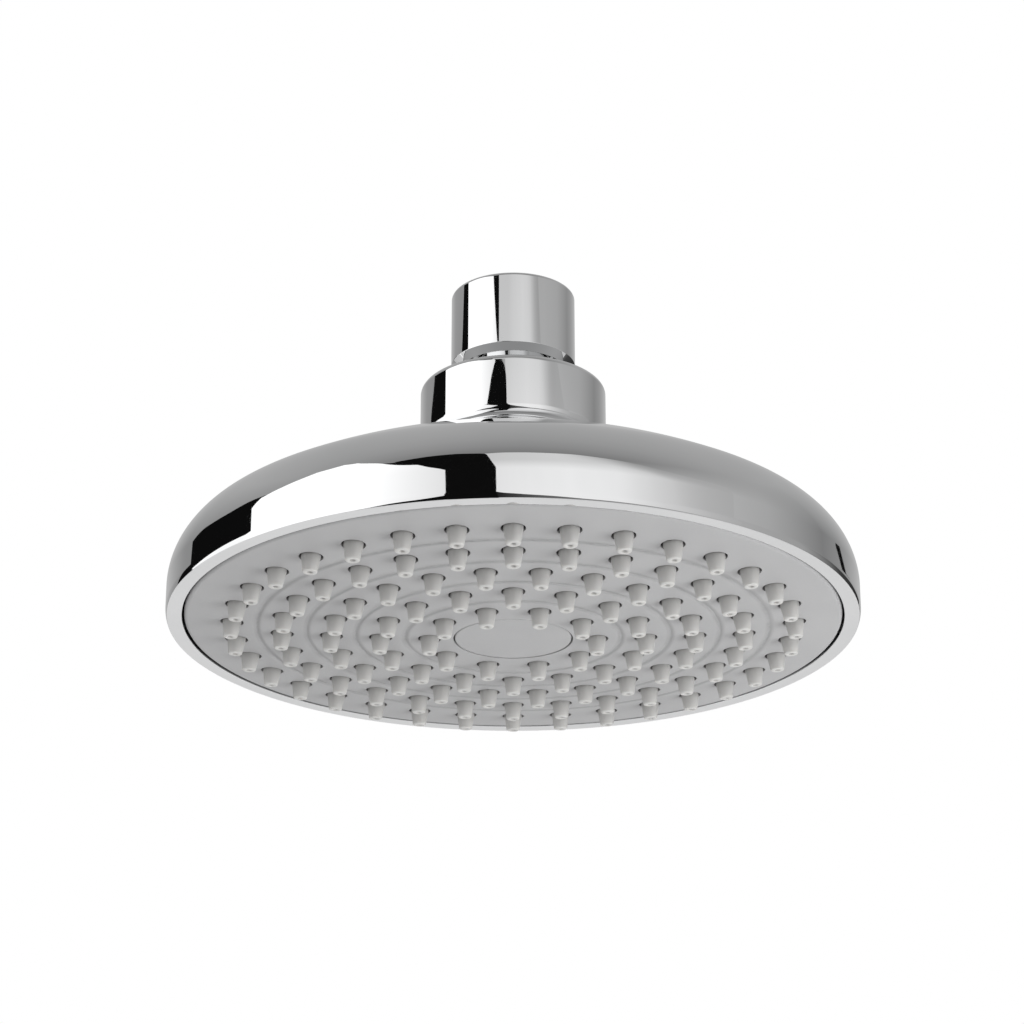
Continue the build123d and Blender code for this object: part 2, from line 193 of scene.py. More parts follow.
def vectorStep(nodes, links, operation, source, other=None):
    # one vector maths node on an output and, where it takes one, a fixed vector or a second output
    step = nodes.new("ShaderNodeVectorMath")
    step.operation = operation
    second = step.inputs["Scale" if operation == "SCALE" else 1]
    links.new(source, step.inputs[0])
    if isinstance(other, tuple):
        second.default_value = other
    elif other is not None:
        links.new(other, second)
    return step.outputs["Value" if operation in ("DISTANCE", "LENGTH") else "Vector"]


def grain(nodes, links, scale, detail=2.0, stretch=(1, 1, 1)):
    # soft noise in object space, with scale counted per metre
    where = nodes.new("ShaderNodeTexCoord")
    placed = nodes.new("ShaderNodeMapping")
    placed.inputs["Scale"].default_value = stretch
    noise = nodes.new("ShaderNodeTexNoise")
    noise.inputs["Scale"].default_value = scale
    noise.inputs["Detail"].default_value = detail
    links.new(where.outputs["Object"], placed.inputs["Vector"])
    links.new(placed.outputs["Vector"], noise.inputs["Vector"])
    return noise.outputs["Fac"]


# most of the noise lies between these
noiseLow, noiseHigh = 0.3, 0.7


def spread(nodes, links, source, low, high, fromLow=noiseLow, fromHigh=noiseHigh, smooth=False):
    # maps one range of numbers to another, and holds the ends
    ranged = nodes.new("ShaderNodeMapRange")
    ranged.interpolation_type = "SMOOTHSTEP" if smooth else "LINEAR"
    ranged.inputs["From Min"].default_value = fromLow
    ranged.inputs["From Max"].default_value = fromHigh
    ranged.inputs["To Min"].default_value = low
    ranged.inputs["To Max"].default_value = high
    links.new(source, ranged.inputs["Value"])
    return ranged.outputs["Result"]


def tint(nodes, links, source, *stops):
    # colour ramp through (position, colour) stops
    ramp = nodes.new("ShaderNodeValToRGB")
    elements = ramp.color_ramp.elements
    for element, (position, colour) in zip(elements, (stops[0], stops[-1])):
        element.position = position
        element.color = (*colour, 1)
    for position, colour in stops[1:-1]:
        elements.new(position).color = (*colour, 1)
    links.new(source, ramp.inputs["Fac"])
    return ramp.outputs["Color"]


def cloudy(nodes, links, scale, detail, dark, light):
    # soft drift between two colours
    cloud = grain(nodes, links, scale, detail)
    return tint(nodes, links, cloud, (noiseLow, dark), (noiseHigh, light))


def ripple(nodes, links, shader, source, strength, depth, invert=False):
    # bump of a given depth, on top of any that the shader has
    earlier = [link.from_socket for link in shader.inputs["Normal"].links]
    bump = nodes.new("ShaderNodeBump")
    bump.invert = invert
    bump.inputs["Strength"].default_value = strength
    bump.inputs["Distance"].default_value = depth * toMetres
    links.new(source, bump.inputs["Height"])
    for normal in earlier:
        links.new(normal, bump.inputs["Normal"])
    links.new(bump.outputs["Normal"], shader.inputs["Normal"])


# finishes

metalLook = dict(
    drift=45, driftDetail=2.0, haze=900, hazeDetail=4.0, wave=260, waveDetail=1.0, waveDepth=0.02,
)


def metalFinish(name, dark, light, lowRough, highRough, stretch=(1, 1, 1), wave=0.0):
    # plated or drawn metal: broad tone drift, fine haze in the gloss and, on chrome, a slight wave
    d = metalLook
    finish, nodes, links, shader = newFinish(name, Metallic=1.0)
    tone = cloudy(nodes, links, d["drift"], d["driftDetail"], dark, light)
    links.new(tone, shader.inputs["Base Color"])
    haze = grain(nodes, links, d["haze"], d["hazeDetail"], stretch)
    links.new(spread(nodes, links, haze, lowRough, highRough), shader.inputs["Roughness"])
    if wave:
        broad = grain(nodes, links, d["wave"], d["waveDetail"])
        ripple(nodes, links, shader, broad, wave, d["waveDepth"])
    return finish


mouldedLook = dict(
    cloud=60, cloudDetail=3.0, tool=2600, toolDetail=3.0, sheen=0.06, bump=0.25, bumpDepth=0.03,
)


def toolGrain(nodes, links, shader, rough):
    # fine grain of a mould, in the sheen and as bump
    d = mouldedLook
    fine = grain(nodes, links, d["tool"], d["toolDetail"])
    sheen = spread(nodes, links, fine, rough - d["sheen"], rough + d["sheen"])
    links.new(sheen, shader.inputs["Roughness"])
    ripple(nodes, links, shader, fine, d["bump"], d["bumpDepth"])


def mouldedFinish(name, dark, light, rough):
    # moulded plastic or rubber: cloudy colour, fine tool grain and an uneven sheen
    d = mouldedLook
    finish, nodes, links, shader = newFinish(name)
    cloud = cloudy(nodes, links, d["cloud"], d["cloudDetail"], dark, light)
    links.new(cloud, shader.inputs["Base Color"])
    toolGrain(nodes, links, shader, rough)
    return finish


chrome = metalFinish(
    "mirrorChrome", (0.88, 0.885, 0.89), (0.92, 0.92, 0.925), 0.015, 0.035, wave=0.02
)
drawnSteel = metalFinish(
    "drawnSteel", (0.56, 0.56, 0.55), (0.66, 0.66, 0.65), 0.22, 0.38, (1, 1, 12)
)
turnedBrass = metalFinish(
    "turnedBrass", (0.66, 0.50, 0.22), (0.78, 0.60, 0.30), 0.2, 0.35, (1, 1, 10)
)
# near-black inside of the dome: painted shade that keeps the gap round the plate dark
paintedShadeInside = mouldedFinish("paintedShadeInside", (0.016, 0.016, 0.017), (0.026, 0.026, 0.027), 0.6)
blackRubber = mouldedFinish("blackRubber", (0.016, 0.016, 0.017), (0.028, 0.028, 0.029), 0.62)
whitePlastic = mouldedFinish("whiteAcetal", (0.76, 0.76, 0.74), (0.82, 0.82, 0.80), 0.42)
innerPlastic = mouldedFinish("innerPlastic", (0.30, 0.31, 0.32), (0.36, 0.37, 0.38), 0.5)

# ramp stops of the silicone, painted shade and light: near black behind the plate as painted shade,
# grey where it leaves the plate, and pale at the tip as painted light
siliconeLook = dict(
    behind=(0.1, (0.03, 0.03, 0.03)), leaving=(0.36, (0.46, 0.455, 0.445)),
    tip=(1.0, (0.64, 0.635, 0.62)), cloud=700, cloudDetail=3.0, drift=0.12,
    skin=3200, skinDetail=2.0, bump=0.15, bumpDepth=0.02,
)


def nozzleFinish(name, d):
    # milky silicone, with painted shade and light in its colour: dark behind the plate and in the jet,
    # paler towards the tip; light inside it comes from subsurface
    finish, nodes, links, shader = newFinish(
        name, Roughness=0.42, Subsurface_Weight=0.35, Subsurface_Scale=0.0012,
        Subsurface_Radius=(1.0, 0.95, 0.9),
    )
    paintedShading = nodes.new("ShaderNodeAttribute")
    paintedShading.attribute_name = "paintedShading"
    cloud = grain(nodes, links, d["cloud"], d["cloudDetail"])
    drift = mathStep(nodes, links, "MULTIPLY_ADD", cloud, d["drift"], paintedShading.outputs["Fac"])
    pale = tint(nodes, links, drift, d["behind"], d["leaving"], d["tip"])
    links.new(pale, shader.inputs["Base Color"])
    skin = grain(nodes, links, d["skin"], d["skinDetail"])
    ripple(nodes, links, shader, skin, d["bump"], d["bumpDepth"])
    return finish


# bowl of the spray face, the painted shade by which its grey darkens with depth below the bowl, and
# its ring grooves
face = dict(
    radius=838.99, bottom=-76.0816, depths=(0.25, 0.6, 1.0, 1.6), shadeTones=(1.0, 0.55, 0.2, 0.08),
    dark=(0.455, 0.455, 0.46), light=(0.485, 0.485, 0.488), rough=0.46, rings=4,
    ringFirst=21.75, ringPitch=9.9, ringHalf=1.1, ringShade=0.86, ringBump=1.0, ringDepth=0.22,
)


def plateFinish(name, d):
    # satin grey plastic with painted shade: darker in its holes and gaps, and along the ring grooves,
    # whose soft shoulders are also a bump
    finish, nodes, links, shader = newFinish(name)
    where = nodes.new("ShaderNodeTexCoord").outputs["Object"]
    bowl, deepest = d["radius"] * toMetres, d["depths"][-1] * toMetres
    centre = (0, 0, (d["bottom"] + d["radius"]) * toMetres)
    # painted shade: the grey darkens with depth below the bowl, in holes, gaps and the cap's edge
    away = vectorStep(nodes, links, "DISTANCE", where, centre)
    depth = spread(nodes, links, away, 0, 1, bowl, bowl - deepest)
    shadeTones = zip(d["depths"], d["shadeTones"])
    stops = [(deep / d["depths"][-1], (tone, tone, tone)) for deep, tone in shadeTones]
    shade = tint(nodes, links, depth, *stops)
    cloud = cloudy(
        nodes, links, mouldedLook["cloud"], mouldedLook["cloudDetail"], d["dark"], d["light"]
    )
    toned = vectorStep(nodes, links, "MULTIPLY", cloud, shade)
    # distance from the axis, then from the nearest ring, by wrapping to a pitch about the first
    level = vectorStep(nodes, links, "MULTIPLY", where, (1, 1, 0))
    reach = vectorStep(nodes, links, "LENGTH", level)
    first, pitch = d["ringFirst"] * toMetres, d["ringPitch"] * toMetres
    turn = mathStep(nodes, links, "WRAP", reach, first + pitch / 2, first - pitch / 2)
    apart = mathStep(nodes, links, "SUBTRACT", turn, first)
    off = mathStep(nodes, links, "ABSOLUTE", apart)
    dip = spread(nodes, links, off, 0, 1, d["ringHalf"] * toMetres, 0, True)
    # only where the face has rings
    middle, span = first + (d["rings"] - 1) * pitch / 2, d["rings"] * pitch / 2
    ringed = mathStep(nodes, links, "COMPARE", reach, middle, span)
    groove = mathStep(nodes, links, "MULTIPLY", dip, ringed)
    # painted shade along the ring grooves: the grey is darkened there
    grooveShade = spread(nodes, links, groove, 1, d["ringShade"], 0, 1)
    links.new(vectorStep(nodes, links, "SCALE", toned, grooveShade), shader.inputs["Base Color"])
    toolGrain(nodes, links, shader, d["rough"])
    ripple(nodes, links, shader, groove, d["ringBump"], d["ringDepth"], True)
    return finish


satinGrey = plateFinish("satinGreyFace", face)
silicone = nozzleFinish("milkySilicone", siliconeLook)
print("finishes made")

# inlet union nut: threaded bore, rounded mouth and a chamfered foot
inletNut = dict(
    radius=12.93, foot=-17.3, chamfer=1.4, mouthRound=0.7, bore=10.6, mouthChamfer=0.4,
    threadEnd=-9.9, relief=11.0, reliefTop=-10.3, webTop=-15.1, hole=7.56, pitch=1.814, ridge=1.28,
    fadeGap=0.1, fadeLength=1.1, boreSteps=84, edge=0.12, segments=224,
)


def pipeThread(height, angle):
    # helical ridge: raised cosine of height / pitch plus a turn per revolution, faded at both ends
    d = inletNut
    turns = height / d["pitch"] + angle / (2 * np.pi)
    wave = 0.5 - 0.5 * np.cos(2 * np.pi * turns)
    fadeTop = np.clip((-d["mouthChamfer"] - d["fadeGap"] - height) / d["fadeLength"], 0, 1)
    fadeEnd = np.clip((height - d["threadEnd"] - d["fadeGap"]) / d["fadeLength"], 0, 1)
    return d["ridge"] * wave * fadeTop * fadeEnd


def inletOutline(d):
    walls = softOutline([
        (d["hole"], d["webTop"], d["edge"]),
        (d["hole"], d["foot"], d["edge"]),
        (d["radius"] - d["chamfer"], d["foot"], d["edge"]),
        (d["radius"], d["foot"] + d["chamfer"], d["edge"]),
        (d["radius"], 0, d["mouthRound"]),
        (d["bore"] + d["mouthChamfer"], 0, d["edge"]),
        (d["bore"], -d["mouthChamfer"], d["edge"]),
        (d["bore"], d["threadEnd"], d["edge"]),
        (d["relief"], d["reliefTop"], d["edge"]),
        (d["relief"], d["webTop"], d["edge"]),
    ])
    # the bore's own straight run gets enough steps to carry the ridges
    onBore = np.isclose(walls[:, 0], d["bore"])
    first, last = np.flatnonzero(onBore)[[0, -1]]
    bore = straightRun(walls[first], walls[last], d["boreSteps"])
    return np.concatenate([walls[:first], bore, walls[last + 1:]])


def threadedReach(outline, d):
    # keeps the ridges to the bore, so the outer wall stays round
    onBore = np.isclose(outline[:, 0], d["bore"])[:, None]
    return lambda height, angle: np.where(onBore, pipeThread(height, angle), 0)


nutOutline = inletOutline(inletNut)
nutMesh = turnedMesh(nutOutline, inletNut["segments"], threadedReach(nutOutline, inletNut))
makePiece("inletNut", *nutMesh, chrome, "inlet", "chrome", ["inlet_nut"])
print("inlet nut made")

# swivel: hollow stem that runs into the ball
swivel = dict(
    ball=11.0, ballZ=-28.5, flat=-35.0, stem=7.5, stemTop=-12.3, fillet=1.0, bore=4.4, seat=5.15,
    seatZ=-16.65, grooveLow=-15.1, grooveHigh=-13.8, groove=6.7, seam=0.01, edge=0.1,
    edgeSteps=4, closingRun=3, segments=160,
)


def swivelOutline(d):
    # sphere from its flat up to the fillet, fillet arc outside both, then the stem and its bore
    reach = d["stem"] + d["fillet"]
    lift = math.sqrt((d["ball"] + d["fillet"]) ** 2 - reach**2)
    onBall = math.degrees(math.atan2(lift, reach))
    low = math.degrees(math.asin((d["flat"] - d["ballZ"]) / d["ball"]))
    ball = arcRun((0, d["ballZ"]), d["ball"], low, onBall, 72)
    neck = arcRun((reach, d["ballZ"] + lift), d["fillet"], onBall - 180, -180, 10)
    stem = softOutline([
        (d["stem"], d["ballZ"] + lift, d["seam"]),
        (d["stem"], d["grooveLow"], d["edge"]),
        (d["groove"], d["grooveLow"], d["edge"]),
        (d["groove"], d["grooveHigh"], d["edge"]),
        (d["stem"], d["grooveHigh"], d["edge"]),
        (d["stem"], d["stemTop"], d["edge"]),
        (d["seat"], d["stemTop"], d["edge"]),
        (d["seat"], d["seatZ"], d["edge"]),
        (d["bore"], d["seatZ"], d["edge"]),
        (d["bore"], d["flat"], d["edge"]),
    ], d["edgeSteps"])
    # the stem's first arc and its closing run give way to the neck and the ball's flat
    return joinRuns(ball, neck, stem[d["edgeSteps"]:-d["closingRun"]])


swivelMesh = turnedMesh(swivelOutline(swivel), swivel["segments"])
makePiece("swivelBall", *swivelMesh, chrome, "swivel", "chrome", ["swivel_ball"])
print("swivel made")

# collar nut
collarNut = dict(
    radius=19.2, top=-21.4, foot=-34.75, round=1.3, footRound=2.2, opening=10.467, ceiling=-23.8,
    bore=16.45, edge=0.15, edgeSteps=16, segments=256,
)


def collarOutline(d):
    return softOutline([
        (d["opening"], d["ceiling"], d["edge"]),
        (d["bore"], d["ceiling"], d["edge"]),
        (d["bore"], d["foot"], d["edge"]),
        (d["radius"], d["foot"], d["footRound"]),
        (d["radius"], d["top"], d["round"]),
        (d["opening"], d["top"], d["edge"]),
    ], d["edgeSteps"])


collarMesh = turnedMesh(collarOutline(collarNut), collarNut["segments"])
makePiece("collarNut", *collarMesh, chrome, "head", "chrome", ["collar_nut"])
print("collar made")

# dome shell: lip, side, shoulder, crown and neck outside; bore, water space and socket inside
domeShell = dict(
    radius=69.7, rim=-73.4816, bore=66.4, lipCorner=0.12, curl=3.0, curlTurn=25.0, shoulder=14.0,
    crown=127.0, crownZ=-166.0, neck=16.4, neckTop=-29.7, neckFillet=1.6, socket=13.55,
    socketFloor=-37.9, passage=6.0, wall=2.2, innerShoulder=7.0, edge=0.12, segments=320,
    posts=6, postCircle=38.0, post=4.0, postHole=1.55, postFoot=-64.62, postTop=-46.5,
    holeTop=-55.6, postSegments=24, middleZ=-60.0, plated=0.7, boreSlack=0.06,
)


def domeOutline(d):
    # flat lip, then its small corner, which touches the curl of the side's foot from inside
    curlX = d["radius"] - d["curl"]
    curlZ = d["rim"] + d["curl"] * math.sin(math.radians(d["curlTurn"]))
    cornerZ = d["rim"] + d["lipCorner"]
    cornerX = curlX + math.sqrt((d["curl"] - d["lipCorner"]) ** 2 - (curlZ - cornerZ) ** 2)
    touch = math.degrees(math.atan2(cornerZ - curlZ, cornerX - curlX))
    edgeZ = d["rim"] + d["edge"]
    inEdge = arcRun((d["bore"] + d["edge"], edgeZ), d["edge"], 180, 270, 6)
    # shoulder arc tangent to the side and the crown
    shoulderX = d["radius"] - d["shoulder"]
    shoulderZ = d["crownZ"] + math.sqrt((d["crown"] - d["shoulder"]) ** 2 - shoulderX**2)
    meet = math.degrees(math.atan2(shoulderZ - d["crownZ"], shoulderX))
    # neck fillet, tangent to the crown and the neck
    filletX = d["neck"] + d["neckFillet"]
    filletZ = d["crownZ"] + math.sqrt((d["crown"] + d["neckFillet"]) ** 2 - filletX**2)
    foot = math.degrees(math.atan2(filletZ - d["crownZ"], filletX))
    # water space: the same arcs set in by the wall
    inner = d["crown"] - d["wall"]
    innerX = d["bore"] - d["innerShoulder"]
    innerZ = d["crownZ"] + math.sqrt((inner - d["innerShoulder"]) ** 2 - innerX**2)
    innerMeet = math.degrees(math.atan2(innerZ - d["crownZ"], innerX))
    innerTop = math.degrees(math.acos(d["passage"] / inner))
    passageZ = d["crownZ"] + inner * math.sin(math.radians(innerTop))
    return joinRuns(
        inEdge,
        straightRun(inEdge[-1], (cornerX, d["rim"]), 6),
        arcRun((cornerX, cornerZ), d["lipCorner"], -90, touch, 8),
        arcRun((curlX, curlZ), d["curl"], touch, 0, 24),
        straightRun((d["radius"], curlZ), (d["radius"], shoulderZ), 4),
        arcRun((shoulderX, shoulderZ), d["shoulder"], 0, meet, 60),
        arcRun((0, d["crownZ"]), d["crown"], meet, foot, 60),
        arcRun((filletX, filletZ), d["neckFillet"], foot - 180, -180, 12),
        straightRun((d["neck"], filletZ), (d["neck"], d["neckTop"]), 2),
        straightRun((d["neck"], d["neckTop"]), (d["socket"], d["neckTop"])),
        straightRun((d["socket"], d["neckTop"]), (d["socket"], d["socketFloor"])),
        straightRun((d["socket"], d["socketFloor"]), (d["passage"], d["socketFloor"])),
        straightRun((d["passage"], d["socketFloor"]), (d["passage"], passageZ)),
        arcRun((0, d["crownZ"]), inner, innerTop, innerMeet, 40),
        arcRun((innerX, innerZ), d["innerShoulder"], innerMeet, 0, 16),
        straightRun((d["bore"], innerZ), (d["bore"], d["rim"] + d["plated"])),
        straightRun((d["bore"], d["rim"] + d["plated"]), (d["bore"], edgeZ)),
    )


def screwPosts(d):
    # rings about each post's axis: hole ceiling, hole mouth, foot and top, capped at both ends
    reach = np.array([d["postHole"], d["postHole"], d["post"], d["post"]])
    height = np.array([d["holeTop"], d["postFoot"], d["postFoot"], d["postTop"]])
    rings, segments = len(reach), d["postSegments"]
    b = np.linspace(0, 2 * np.pi, segments, endpoint=False)
    turn = np.arange(d["posts"]) * 2 * np.pi / d["posts"]
    x = d["postCircle"] * np.cos(turn)[:, None, None] + (reach[:, None] * np.cos(b))[None]
    y = d["postCircle"] * np.sin(turn)[:, None, None] + (reach[:, None] * np.sin(b))[None]
    z = np.broadcast_to(height[None, :, None], x.shape)
    points = np.stack([x, y, z], -1).reshape(-1, 3)
    start = np.arange(d["posts"])[:, None] * rings * segments
    walls = (sheetFaces(rings, segments, False, True)[None] + start[:, :, None]).reshape(-1, 4)
    ceilings = (np.arange(segments)[::-1] + start).tolist()
    tops = (np.arange(segments) + (rings - 1) * segments + start).tolist()
    return points, walls.tolist() + ceilings + tops


domeWalls = turnedMesh(domeOutline(domeShell), domeShell["segments"])
domeMesh = joinMeshes(domeWalls, screwPosts(domeShell))
dome = makePiece("domeShell", *domeMesh, chrome, "head", "chrome", ["dome_shell"])
dome.data.materials.append(paintedShadeInside)
# inner faces lie within the bore, above its plated mouth, and look towards the water space; they take
# the near-black finish, painted shade for the gap round the plate
spots = polygonVectors(dome.data, "center") / toMetres
ways = polygonVectors(dome.data, "normal")
within = np.hypot(spots[:, 0], spots[:, 1]) < domeShell["bore"] + domeShell["boreSlack"]
within &= spots[:, 2] > domeShell["rim"] + domeShell["plated"]
inwards = ((spots - [0, 0, domeShell["middleZ"]]) * ways).sum(1) < 0
dome.data.polygons.foreach_set("material_index", (within & inwards).astype(np.int32))
print("dome made")

# nozzle mat: 110 nozzles square to the bowl of the face, on one soft sheet behind the plate
nozzleMat = dict(
    rows=5, firstRow=16.8, pitch=9.9, firstCount=10, added=6, turns=(0.5, 0.0, 0.5, 0.0, 0.0),
    length=3.25, base=1.9, tip=1.44, tipRound=0.34, jet=0.5, root=1.9, above=0.06, below=0.02,
    waist=0.5, jetRound=0.14, jetTaper=0.96, jetDepth=0.55, hidden=-0.1, firstPale=0.3,
    jetPale=(0.7, 0.2), tipSteps=4, segments=20, sheetFace=1.65, sheetBack=3.15, sheetIn=13.25,
    sheetOut=65.0, sheetRows=40, sheetSegments=128,
)
bowlCentre = face["bottom"] + face["radius"]


def nozzlePoints(d):
    # places on the bowl at reach (sin a, -cos a); the axis points away from the bowl's centre
    counts = [d["firstCount"] + d["added"] * k for k in range(d["rows"])]
    reach = np.repeat(d["firstRow"] + d["pitch"] * np.arange(d["rows"]), counts)
    turn = np.concatenate([(np.arange(n) + t) * 2 * np.pi / n for n, t in zip(counts, d["turns"])])
    drop = np.sqrt(face["radius"] ** 2 - reach**2)
    axis = np.stack([reach * np.sin(turn), -reach * np.cos(turn), -drop], 1) / face["radius"]
    spots = axis * face["radius"] + [0, 0, bowlCentre]
    side = np.cross(axis, [0, 1, 0])
    side /= np.linalg.norm(side, axis=1, keepdims=True)
    return spots, axis, side, np.cross(axis, side)


def nozzleOutline(d):
    # (reach, depth below the face): root, taper, rounded tip, flat end and the jet's bore
    base, tip, length, roll = d["base"], d["tip"], d["length"], d["tipRound"]
    return np.concatenate([
        [(base, -d["root"]), (base, -d["above"]), (base, d["below"])],
        [(base + (tip - base) * d["waist"], (length - roll) * d["waist"])],
        arcRun((tip - roll, length - roll), roll, 0, 90, d["tipSteps"]),
        [(d["jet"] + d["jetRound"], length), (d["jet"], length - d["jetRound"])],
        [(d["jet"] * d["jetTaper"], length * d["jetDepth"])],
    ])


def nozzleMesh(d):
    # every nozzle at once: spot + reach (cos b side + sin b across) + depth axis
    spots, axis, side, across = nozzlePoints(d)
    outline = nozzleOutline(d)
    b = np.linspace(0, 2 * np.pi, d["segments"], endpoint=False)[None, :, None]
    ring = np.cos(b) * side[:, None, :] + np.sin(b) * across[:, None, :]
    points = spots[:, None, None, :] + outline[None, :, None, :1] * ring[:, None, :, :]
    points = points + outline[None, :, None, 1:] * axis[:, None, None, :]
    count, steps, segments = points.shape[:3]
    quads = sheetFaces(steps, segments, False, True)
    offset = (np.arange(count) * steps * segments)[:, None, None]
    ends = (steps - 1) * segments + np.arange(segments)
    faces = (quads[None] + offset).reshape(-1, 4).tolist()
    faces += (ends[None] + offset[:, :, 0]).tolist()
    faces += (np.arange(segments)[::-1][None] + offset[:, :, 0]).tolist()
    # painted shading: none behind the plate as painted shade, then paler with depth towards the tip as
    # painted light, and dark again inside the jet as painted shade
    depth = outline[:, 1]
    pale = d["firstPale"] + (1 - d["firstPale"]) * np.clip(depth / d["length"], 0, 1)
    paintedShading = np.where(depth < d["hidden"], 0, pale)
    # painted shade inside the jet's bore
    paintedShading[-2:] = d["jetPale"]
    paintedShading = np.broadcast_to(paintedShading[None, :, None], points.shape[:3]).reshape(-1)
    return points.reshape(-1, 3), faces, paintedShading


def bowlCurve(reach, depth):
    # outline of a bowl about the face's centre, set back by a depth
    return np.stack([reach, bowlCentre - np.sqrt((face["radius"] - depth) ** 2 - reach**2)], 1)


def matSheet(d):
    # two bowls joined at both edges
    reach = np.linspace(d["sheetIn"], d["sheetOut"], d["sheetRows"])
    front, back = bowlCurve(reach, d["sheetFace"]), bowlCurve(reach, d["sheetBack"])
    return turnedMesh(np.concatenate([front, back[::-1]]), d["sheetSegments"])


tips, tipFaces, tipPale = nozzleMesh(nozzleMat)
sheet = matSheet(nozzleMat)
matMesh = joinMeshes((tips, tipFaces), sheet)
mat = makePiece("nozzleMat", *matMesh, silicone, "head", "pale_silicone", ["nozzle_mat"])
# the sheet behind the plate takes the near-black stop, painted shade in the holes round the nozzles
matPale = np.concatenate([tipPale, np.zeros(len(sheet[0]))]).astype(np.float32)
mat.data.attributes.new("paintedShading", "FLOAT", "POINT").data.foreach_set("value", matPale)
print("nozzle mat made:", len(nozzlePoints(nozzleMat)[0]), "nozzles")

# materials of the CAD nodes that stay
nodeFinishes = dict(
    face_plate=satinGrey, centre_cap=satinGrey, retaining_clip=drawnSteel, strainer=drawnSteel,
    distributor_screws=drawnSteel, centre_screw=drawnSteel, screw_insert=turnedBrass,
    inlet_washer=blackRubber, regulator_ring=blackRubber, ball_seal=blackRubber,
    rim_seal=blackRubber, screw_seal=blackRubber, ball_seat_ring=whitePlastic,
    flow_regulator=whitePlastic, distributor=innerPlastic,
)
for nodeName, finish in nodeFinishes.items():
    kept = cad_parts[nodeName].data
    kept.materials.clear()
    kept.materials.append(finish)
print("kept nodes finished:", len(nodeFinishes))

# studio

clothGlow = 0.004


def glowFinish(name, readsGlow):
    # plain emission, either from the card's own glow attribute or near black
    finish = bpy.data.materials.new(name)
    finish.use_nodes = True
    nodes, links = finish.node_tree.nodes, finish.node_tree.links
    nodes.remove(nodes["Principled BSDF"])
    light = nodes.new("ShaderNodeEmission")
    if readsGlow:
        glow = nodes.new("ShaderNodeAttribute")
        glow.attribute_name = "glow"
        links.new(glow.outputs["Fac"], light.inputs["Strength"])
    else:
        light.inputs["Strength"].default_value = clothGlow
    links.new(light.outputs["Emission"], nodes["Material Output"].inputs["Surface"])
    return finish


glowing = glowFinish("studioGlow", True)
blackCloth = glowFinish("studioBlack", False)


def stageCard(name, points, glow, finish):
    # grid of points (millimetres) with a brightness each; only mirrors see it
    rows, columns = points.shape[:2]
    mesh = smoothMesh(name, points, sheetFaces(rows, columns, False, False).tolist(), finish)
    levels = np.broadcast_to(glow, (rows, columns)).astype(np.float32).ravel()
    mesh.attributes.new("glow", "FLOAT", "POINT").data.foreach_set("value", levels)
    card = newObject(name, mesh)
    card.visible_camera = False
    card.visible_diffuse = False
    card.visible_shadow = False
    card.visible_transmission = False


def curvedCard(name, knots, glow, finish, columns=180, rows=24, soften=9):
    # upright card round the axis: azimuth (0 in front, + right), distance, low and high at each knot
    azimuth, distance, low, high = np.array(knots, float).T
    stops = np.linspace(azimuth[0], azimuth[-1], columns)
    t = np.linspace(0, 1, rows)[:, None]

    def softEdge(level):
        # a running mean rounds the edge's corners
        edge = np.pad(np.interp(stops, azimuth, level), soften, "edge")
        run = np.ones(2 * soften + 1) / (2 * soften + 1)
        return np.convolve(edge, run, "valid")[None, :]

    height = softEdge(low) * (1 - t) + softEdge(high) * t
    a = stops[None, :] + 0 * t
    away, turn = np.interp(a, azimuth, distance), np.radians(a)
    points = np.stack([away * np.sin(turn), -away * np.cos(turn), height], -1)
    stageCard(name, points, glow(a, height), finish)


# grey room seen only by the chrome: dark above the panels, lighter overhead and behind
room = dict(
    radius=3000.0, columns=145, rows=85, lowLift=-50, blendFrom=20, blendOver=22,
    front=(0, 20, 45, 60, 75, 90, 120, 150, 180),
    level=(0.16, 0.18, 0.20, 0.28, 0.33, 0.36, 0.40, 0.46, 0.50),
    sideAt=(-180, -160, -136, -120, -60, 0, 60, 90, 120, 134, 160, 180),
    sideLevel=(0.52, 0.48, 0.28, 0.26, 0.30, 0.50, 0.50, 0.40, 0.22, 0.28, 0.48, 0.52),
)


def roomShell(d):
    # sphere round the head: a level by azimuth low down, then by the angle over from the front
    azimuth = np.radians(np.linspace(-180, 180, d["columns"]))[None, :]
    lift = np.radians(np.linspace(d["lowLift"], 90, d["rows"]))[:, None]
    x, y = np.cos(lift) * np.sin(azimuth), -np.cos(lift) * np.cos(azimuth)
    z = np.sin(lift) + 0 * azimuth
    over = np.degrees(np.arctan2(z, -y)) % 360
    high = np.interp(np.where(over > 270, 0, np.minimum(over, 180)), d["front"], d["level"])
    side = np.interp(np.degrees(azimuth) + 0 * lift, d["sideAt"], d["sideLevel"])
    blend = np.clip((np.degrees(lift) - d["blendFrom"]) / d["blendOver"], 0, 1) + 0 * azimuth
    glow = side * (1 - blend) + high * blend
    stageCard("studioRoom", np.stack([x, y, z], -1) * d["radius"], glow, glowing)


roomShell(room)

# white panel at the left: the bright bars on the side, the collar and the nut
whitePanel = [
    (-92, 1400, -780, 690), (-85, 1200, -670, 770), (-75, 800, -450, 650), (-65, 560, -310, 490),
    (-58, 480, -265, 392), (-45.8, 450, -230, 295), (-38.6, 450, -180, 228),
    (-33.5, 450, -150, 203), (-25.7, 450, -130, 180), (-19, 450, -40, 174), (-16, 450, 20, 172),
]


def whiteGlow(a, h):
    return np.interp(a, (-92, -60, -44, -30, -16), (1.2, 1.25, 1.2, 0.98, 0.78))


curvedCard("whitePanel", whitePanel, whiteGlow, glowing)

